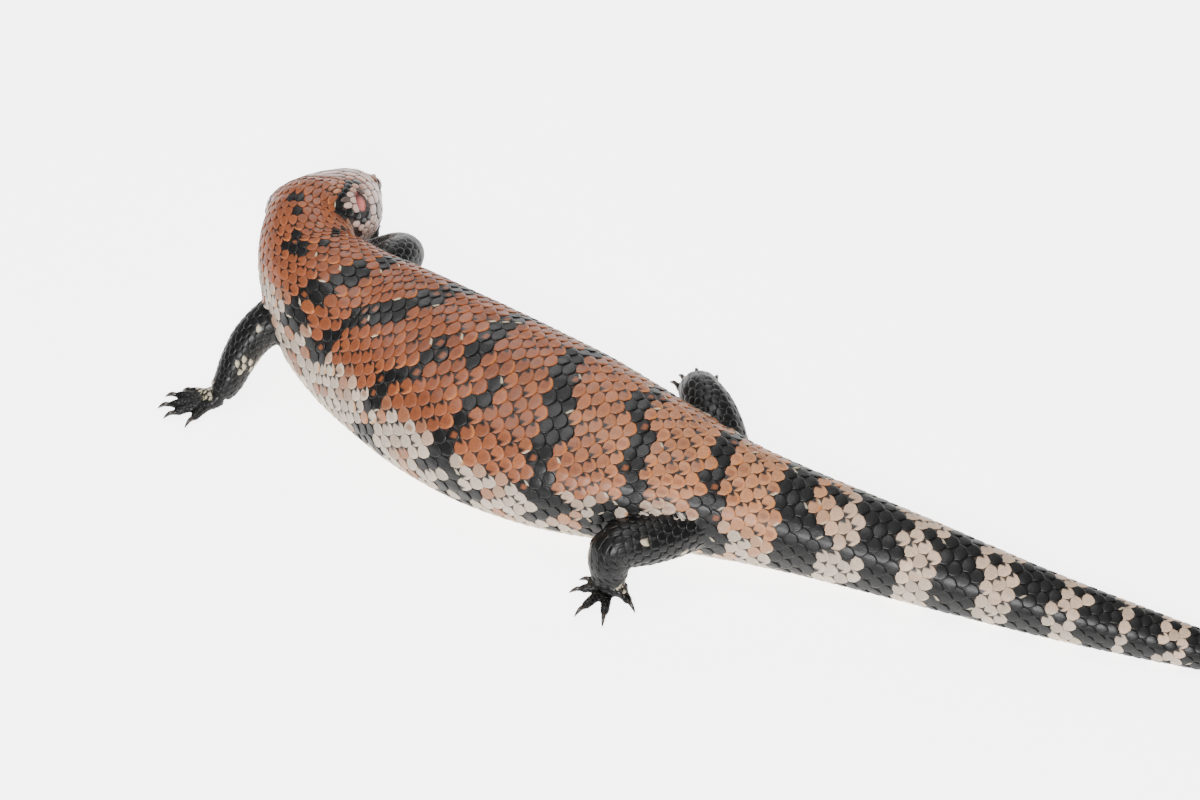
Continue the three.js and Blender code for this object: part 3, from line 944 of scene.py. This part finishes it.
# The black crescent between ear and neck, as (length, degrees from the crown), on the right side
CRESCENT = [(3, 46), (-4.5, 52), (-9.5, 62), (-11, 78), (-9, 90), (-5, 99), (1, 102)]
CRESCENT_HALF = 1.7


def head_seeds():
    """The middles of the right side's shields: mm along the head, and degrees from the crown."""
    seeds = [(57.6, 0), (55, 52), (51.5, 0), (45.8, 19), (38.5, 0), (33.5, 0), (27.5, 12)]
    seeds += [(21.5, 0), (18.5, 22), (12, 9), (11, 31), (50, 50), (46, 62), (41.6, 66)]
    seeds += [(41.5 - 4.5 * i, 31 + 2 * (i in (1, 2))) for i in range(4)]
    for first, step, turn, count in SEED_ROWS:
        seeds += [(first - step * i, turn) for i in range(count)]
    seeds += [(22.5, 62), (23.5, 74), (17, 52), (17.5, 68), (17, 84)]
    seeds += [(10.5, 46), (11, 62), (11, 78), (11.5, 95)]
    seeds += [(13.5 - 4.2 * row, 104 + 18 * j + 9 * (row % 2)) for row in range(3) for j in range(4)]
    for row in range(7):
        seeds += [(JOWL_START - JOWL_STEP * row, 26 + 11 * j + 5.5 * (row % 2)) for j in range(14)]
    return seeds


def mouth_level(x):
    """The level of the line of the mouth in the head's frame, at the lengths x."""
    return np.interp(x, *zip(*MOUTH_LINE[::-1]))


def mouth_turn(x):
    """Degrees from the crown of the line of the mouth at the lengths x."""
    row = HEAD_SURFACE.at(x)
    drop = mouth_level(x) - row[..., 1]
    reach = np.where(drop < 0, row[..., 4], row[..., 3])
    power = np.where(drop < 0, HEAD_SURFACE.BOTTOM_POWER, HEAD_SURFACE.TOP_POWER)
    level = np.sign(drop) * np.clip(np.abs(drop) / reach, 0, 1) ** (power / 2)
    return np.degrees(np.arccos(level))


def off_the_mouth(outline, seed):
    """Keeps a lip shield's outline on its own side of the mouth."""
    line = mouth_turn(outline[:, 0]) * MAP_WIDTH
    turn = np.abs(outline[:, 1])
    upper = abs(seed[1]) < mouth_turn(seed[0]) * MAP_WIDTH
    kept = np.minimum(turn, line - MOUTH_GAP) if upper else np.maximum(turn, line + MOUTH_GAP)
    turn = np.where(outline[:, 0] > MOUTH_CORNER, kept, turn)
    return np.stack([outline[:, 0], turn * np.sign(outline[:, 1])], axis=-1)


def cells(seeds, border):
    """The cell of each seed in the plane: the places nearer to it than to any other seed."""
    found = []
    for i, seed in enumerate(seeds):
        polygon = [np.array(p, float) for p in border]
        order = np.argsort(((seeds - seed) ** 2).sum(axis=1))[1:22]
        for k in order:
            middle = (seeds[k] + seed) / 2
            away = seeds[k] - seed
            polygon = clip(polygon, middle, away)
            if len(polygon) < 3:
                break
        found.append(polygon)
    return found


def clip(polygon, middle, away):
    """The part of a polygon on the near side of the line through middle, square to away."""
    kept = []
    depths = [(p - middle) @ away for p in polygon]
    for k, p in enumerate(polygon):
        q = polygon[(k + 1) % len(polygon)]
        dp, dq = depths[k], depths[(k + 1) % len(polygon)]
        if dp <= 0:
            kept.append(p)
        if dp * dq < 0:
            kept.append(p + (q - p) * dp / (dp - dq))
    return kept


def rounded_outline(polygon, count, shrink):
    """A polygon as count points evenly round it, drawn in by shrink and with its corners eased."""
    corners = np.array(polygon)
    centre = corners.mean(axis=0)
    closed = np.vstack([corners, corners[:1]])
    lengths = np.linalg.norm(np.diff(closed, axis=0), axis=1)
    far = np.concatenate([[0], np.cumsum(lengths)])
    at = np.linspace(0, far[-1], count, endpoint=False)
    ring = np.stack([np.interp(at, far, closed[:, k]) for k in (0, 1)], axis=-1)
    ring = ring * 0.6 + (np.roll(ring, 1, axis=0) + np.roll(ring, -1, axis=0)) * 0.2
    out = ring - centre
    size = np.maximum(np.linalg.norm(out, axis=1, keepdims=True), 1e-6)
    return centre, centre + out * np.maximum(size - shrink, size * 0.3) / size


def pushed_out(outline, middle, reach):
    """An outline with every point at least reach from a middle."""
    away = outline - middle
    size = np.linalg.norm(away / reach, axis=1, keepdims=True)
    return middle + away * np.maximum(1 / size, 1)


def shield_outlines(seeds):
    """The seed, middle and outline of each shield that is clear of the eyes and the ears."""
    border = [(MAP_START, -MAP_EDGE), (MAP_END, -MAP_EDGE), (MAP_END, MAP_EDGE), (MAP_START, MAP_EDGE)]
    for polygon, seed in zip(cells(seeds, border), seeds):
        hand = (1, math.copysign(1, seed[1]))
        on_eye = np.linalg.norm((seed - EYE_SPOT * hand) / (1.15, 1)) < EYE_CLEAR
        on_ear = np.linalg.norm((seed - EAR_SPOT * hand) / EAR_REACH) < EAR_CLEAR
        if len(polygon) < 3 or on_eye or on_ear:
            continue
        centre, outline = rounded_outline(polygon, SHIELD_POINTS, SHIELD_GAP)
        outline = pushed_out(outline, EYE_SPOT * hand, LID_REACH)
        outline = pushed_out(outline, EAR_SPOT * hand, EAR_REACH)
        yield seed, centre, off_the_mouth(outline, seed)


def shield_faces():
    """Faces of one shield: between its rings, over its crown and under its foot."""
    turns = [(k, (k + 1) % SHIELD_POINTS) for k in range(SHIELD_POINTS)]
    crown = len(SHIELD_RINGS) * SHIELD_POINTS
    last = crown - SHIELD_POINTS
    faces = []
    for low in range(0, last, SHIELD_POINTS):
        high = low + SHIELD_POINTS
        faces += [[low + k, low + n, high + n, high + k] for k, n in turns]
    faces += [[last + k, last + n, crown] for k, n in turns]
    return faces + [list(range(SHIELD_POINTS))[::-1]]


def tree_of(places):
    """A tree to find the nearest of some places with."""
    tree = KDTree(len(places))
    for i, place in enumerate(places):
        tree.insert(Vector(place), i)
    tree.balance()
    return tree


def make_shields(skin, material):
    """The head's shields as solid plates over the skin."""
    right = head_seeds()
    seeds = np.array(right + [(x, -turn) for x, turn in right if turn > 0]) * (1, MAP_WIDTH)
    seeds += rng.normal(0, SEED_JITTER, seeds.shape)
    scales = tree_of([place for place, _ in SHADES])
    shares, heights, shades = zip(*SHIELD_RINGS)
    level = np.append(np.repeat(heights, SHIELD_POINTS), SHIELD_CROWN)
    shade = np.append(np.repeat(shades, SHIELD_POINTS), 1)
    plate = shield_faces()
    first, length = SHIELD_STRETCH
    points = []
    faces = []
    colours = []
    places = []
    for seed, centre, outline in shield_outlines(seeds):
        middle, _ = skin.settle(HEAD_SURFACE.surface(seed[:1], np.radians(seed[1:] / MAP_WIDTH)))
        if seed[0] < SHIELDS_END and scales.find(Vector(middle[0]))[2] < SCALE_CLEAR:
            continue
        spots = np.vstack([*(centre + (outline - centre) * share for share in shares), centre])
        x = spots[:, 0]
        phi = np.radians(spots[:, 1] / MAP_WIDTH)
        base, away = skin.settle(HEAD_SURFACE.surface(x, phi))
        if np.median(away) > Skin.REACH or away.max() > (SNOUT_REACH if seed[0] > 40 else SHIELD_REACH):
            continue
        placed = base - normals_on(HEAD_SURFACE, x, phi) * level[:, None]
        placed[:, 2] = np.maximum(placed[:, 2], FLOOR_ROOM)
        start = len(points) * len(level)
        faces.extend([start + v for v in face] for face in plate)
        points.append(placed)
        tone = shield_colour(seed)
        # Each ring is darker towards the foot: painted shade on the shield's sides
        colours.append(tone[None] * shade[:, None])
        spot = on_map(np.array([(seed[0] - first) / length, 0.5 + 0.5 * seed[1] / MAP_EDGE]))
        places.append(spot + (spots - centre) * SHIELD_PATCH)
        # The skin under a shield gets the shield's colour, darkened as painted shade
        SHADES.append((base[-1], tone * UNDERSIDE_SHADE))
    piece = mesh_object("head_shields", np.vstack(points), faces, material)
    set_colours(piece, np.vstack(colours))
    bake_map(piece, np.vstack(places))
    return piece


def shield_colour(seed):
    """The head's colours: rust brown above, pinkish cream on the cheeks and lips, pale grey below."""
    turn = abs(seed[1]) / MAP_WIDTH
    luck = rng.uniform(size=3)
    colour = np.array(HEAD_TOP, float) * (0.88 + 0.24 * luck[0])
    colour = mix(colour, HEAD_SIDE, blend_steps(44, 70, turn + 8 * (luck[1] - 0.5)))
    colour = mix(colour, THROAT, blend_steps(120, 140, turn))
    if luck[2] < 0.1 and turn > 40:
        colour = colour * 0.45
    for first, second in zip(CRESCENT, CRESCENT[1:]):
        start = np.array(first) * (1, MAP_WIDTH)
        run = np.array(second) * (1, MAP_WIDTH) - start
        here = np.array([seed[0], turn * MAP_WIDTH]) - start
        share = np.clip(here @ run / (run @ run), 0, 1)
        if np.linalg.norm(here - run * share) < CRESCENT_HALF:
            colour = np.array(BLACK, float)
    return colour


def make_eye(hand):
    """One eyeball, with its poles on the line of sight: the left for hand 1 and the right for hand -1."""
    name = "eye_left" if hand > 0 else "eye_right"
    middle = HEAD_SURFACE.place(mirrored(EYE_PLACE, hand))
    sight = HEAD_SURFACE.turn @ unit(mirrored(SIGHT, hand))
    bm = bmesh.new()
    bmesh.ops.create_uvsphere(bm, u_segments=32, v_segments=24, radius=EYE_RADIUS * MM)
    mesh = bpy.data.meshes.new(name)
    bm.to_mesh(mesh)
    bm.free()
    turn = Vector((0, 0, 1)).rotation_difference(Vector(sight)).to_matrix().to_4x4()
    mesh.transform(Matrix.Translation(Vector(middle * MM)) @ turn)
    mesh.materials.append(eye_material(name, middle + sight * EYE_RADIUS))
    mesh.polygons.foreach_set("use_smooth", [True] * len(mesh.polygons))
    return linked(name, mesh)


def eye_material(name, front):
    """A red-brown iris round a black pupil, by the distance from the eyeball's front, in mm."""
    material, tree, shader = new_material(name)
    link = tree.links.new
    place = node(tree, "ShaderNodeNewGeometry")
    away = node(tree, "ShaderNodeVectorMath", operation="DISTANCE")
    away.inputs[1].default_value = front * MM
    link(place.outputs["Position"], away.inputs[0])
    share = node(tree, "ShaderNodeMapRange")
    set_inputs(share, {"From Max": EYE_RADIUS * MM * IRIS_REACH})
    link(away.outputs["Value"], share.inputs["Value"])
    iris = ramped(tree, share.outputs["Result"], [(position, linear(colour)) for position, colour in IRIS])
    link(iris, shader.inputs["Base Color"])
    set_inputs(shader, {"Roughness": 0.08, "Coat Weight": 1, "Coat Roughness": 0.03})
    return material


def colour_skin(skin):
    """Gives the skin the colours of the scales on it, darker as painted shade in the gaps, and paints the
    ears, lids and snout, and painted shade along the seam of the mouth.
    """
    tree = tree_of([place for place, _ in SHADES])
    tones = np.array([tone for _, tone in SHADES])
    points = vertex_values(skin.data, "co") / MM
    nearest = np.array([tree.find(Vector(p))[1] for p in points])
    # Painted shade: the skin between the scales is much darker than their colour
    colours = tones[nearest] * SKIN_SHADE
    local = HEAD_SURFACE.local(points)
    for hand in (1, -1):
        ear = np.linalg.norm((local - mirrored(EAR_PLACE, hand)) / (np.array(EAR_SIZE) * 1.15), axis=1)
        colours = mix(colours, EAR_PINK, 1 - blend_steps(0.75, 1.0, ear))
        lid = np.linalg.norm(local - mirrored(EYE_PLACE, hand), axis=1)
        colours = mix(colours, np.array(HEAD_SIDE) * 0.9, 1 - blend_steps(LID_REACH, LID_REACH + 1, lid))
    x, y, z = local.T
    colours = mix(colours, HEAD_SIDE, (x > HEAD_SURFACE.length - 3) * 0.8)
    # A dark line along the seam of the mouth: painted shade in the crease
    line = (np.abs(z - mouth_level(x)) < MOUTH_SEAM_SHADE_HALF) & (x > MOUTH_CORNER) & (np.abs(y) < 22)
    colours = mix(colours, MOUTH_SEAM_SHADE, line * 0.9)
    set_colours(skin, colours)


# Camera, floor and lights


def set_camera():
    """The camera of the photograph."""
    data = bpy.data.cameras.new("camera")
    data.lens = LENS
    data.sensor_width = SENSOR
    data.clip_start = 0.01
    camera = linked("camera", data)
    ahead = Vector(CAMERA_AHEAD).normalized()
    up = Vector(CAMERA_UP).normalized()
    turn = Matrix((ahead.cross(up), up, -ahead)).transposed().to_4x4()
    camera.matrix_world = Matrix.Translation(CAMERA_PLACE) @ turn
    bpy.context.scene.camera = camera


def add_light(name, place, aim, size, power):
    """A white rectangle of light."""
    data = bpy.data.lights.new(name, "AREA")
    data.shape = "RECTANGLE"
    data.size, data.size_y = size
    data.energy = power
    light = linked(name, data)
    light.location = place
    light.rotation_euler = (Vector(aim) - Vector(place)).to_track_quat("-Z", "Y").to_euler()


def set_stage():
    """A white floor that is brighter to the camera than to the animal, a white world and the lights."""
    mesh = bpy.data.meshes.new("floor")
    corners = [(-1, -1), (1, -1), (1, 1), (-1, 1)]
    mesh.from_pydata([(x * FLOOR_HALF, y * FLOOR_HALF, 0) for x, y in corners], [], [(0, 1, 2, 3)])
    finish = plain_material("floor", WHITE_GROUND, roughness=0.8, grain=40, spread=0.02)
    mesh.materials.append(finish)
    tree = finish.node_tree
    shader = tree.nodes["Principled BSDF"]
    set_inputs(shader, {"Emission Color": (1, 1, 1, 1)})
    seen = node(tree, "ShaderNodeLightPath")
    glow = ranged(tree, seen.outputs["Is Camera Ray"], FLOOR_GLOW, FLOOR_SEEN)
    tree.links.new(glow, shader.inputs["Emission Strength"])
    floor = linked("floor", mesh)
    world = bpy.data.worlds.new("studio")
    world.use_nodes = True
    set_inputs(world.node_tree.nodes["Background"], {"Color": (1, 1, 1, 1), "Strength": WORLD_LIGHT})
    bpy.context.scene.world = world
    for light in LIGHTS:
        add_light(*light)


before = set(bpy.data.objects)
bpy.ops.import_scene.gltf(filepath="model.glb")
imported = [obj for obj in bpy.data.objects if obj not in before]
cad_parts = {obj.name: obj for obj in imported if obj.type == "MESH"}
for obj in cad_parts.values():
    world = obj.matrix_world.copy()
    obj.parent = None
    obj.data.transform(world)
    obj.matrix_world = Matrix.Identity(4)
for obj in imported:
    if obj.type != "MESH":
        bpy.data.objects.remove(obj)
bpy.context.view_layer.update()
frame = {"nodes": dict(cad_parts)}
FLESH = [name for name in frame["nodes"] if "eye" not in name]

set_camera()
set_stage()
skin_finish = scaly_material("skin", roughness=0.5, coat=0.1, grain=1500, bump=0.3)
scale_finish = scaly_material("scales", roughness=0.42, coat=0.16, grain=1100, bump=0.5)
dark_finish = scaly_material("dark_scales", roughness=0.36, coat=0.08, grain=1400, bump=0.18)
shield_finish = scaly_material("shields", roughness=0.36, coat=0.4, grain=1100, bump=0.2)
horn = plain_material("claws", HORN, roughness=0.3, coat=0.3)

skin = make_skin(frame, FLESH, skin_finish)
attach(skin, "root")
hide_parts(*FLESH)
ground = Skin(skin)

pieces = []
place = SCALES_START
ring = 0
for number, (end, around) in enumerate(SCALE_RINGS):
    sites, place, ring = ring_sites(place, end, around, step_at, ring)
    steps = step_at(sites[:, 0])
    name = f"scales_trunk_{number + 1}"
    pieces.append(
        coat(name, ground, TRUNK_LOFT, sites, around, steps, scale_finish, trunk_paint, clear=clear_of_head)
    )
for limb in LIMBS:
    pieces.extend(limb_coat(limb, ground, dark_finish))
pieces.append(make_shields(ground, shield_finish))
for piece in pieces:
    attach(piece, "root")
for limb in LIMBS:
    for claw in make_claws(limb, horn):
        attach(claw, "root")
for hand in (1, -1):
    eye = make_eye(hand)
    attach(eye, "root")
    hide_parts("left_eye" if hand > 0 else "right_eye")
colour_skin(skin)
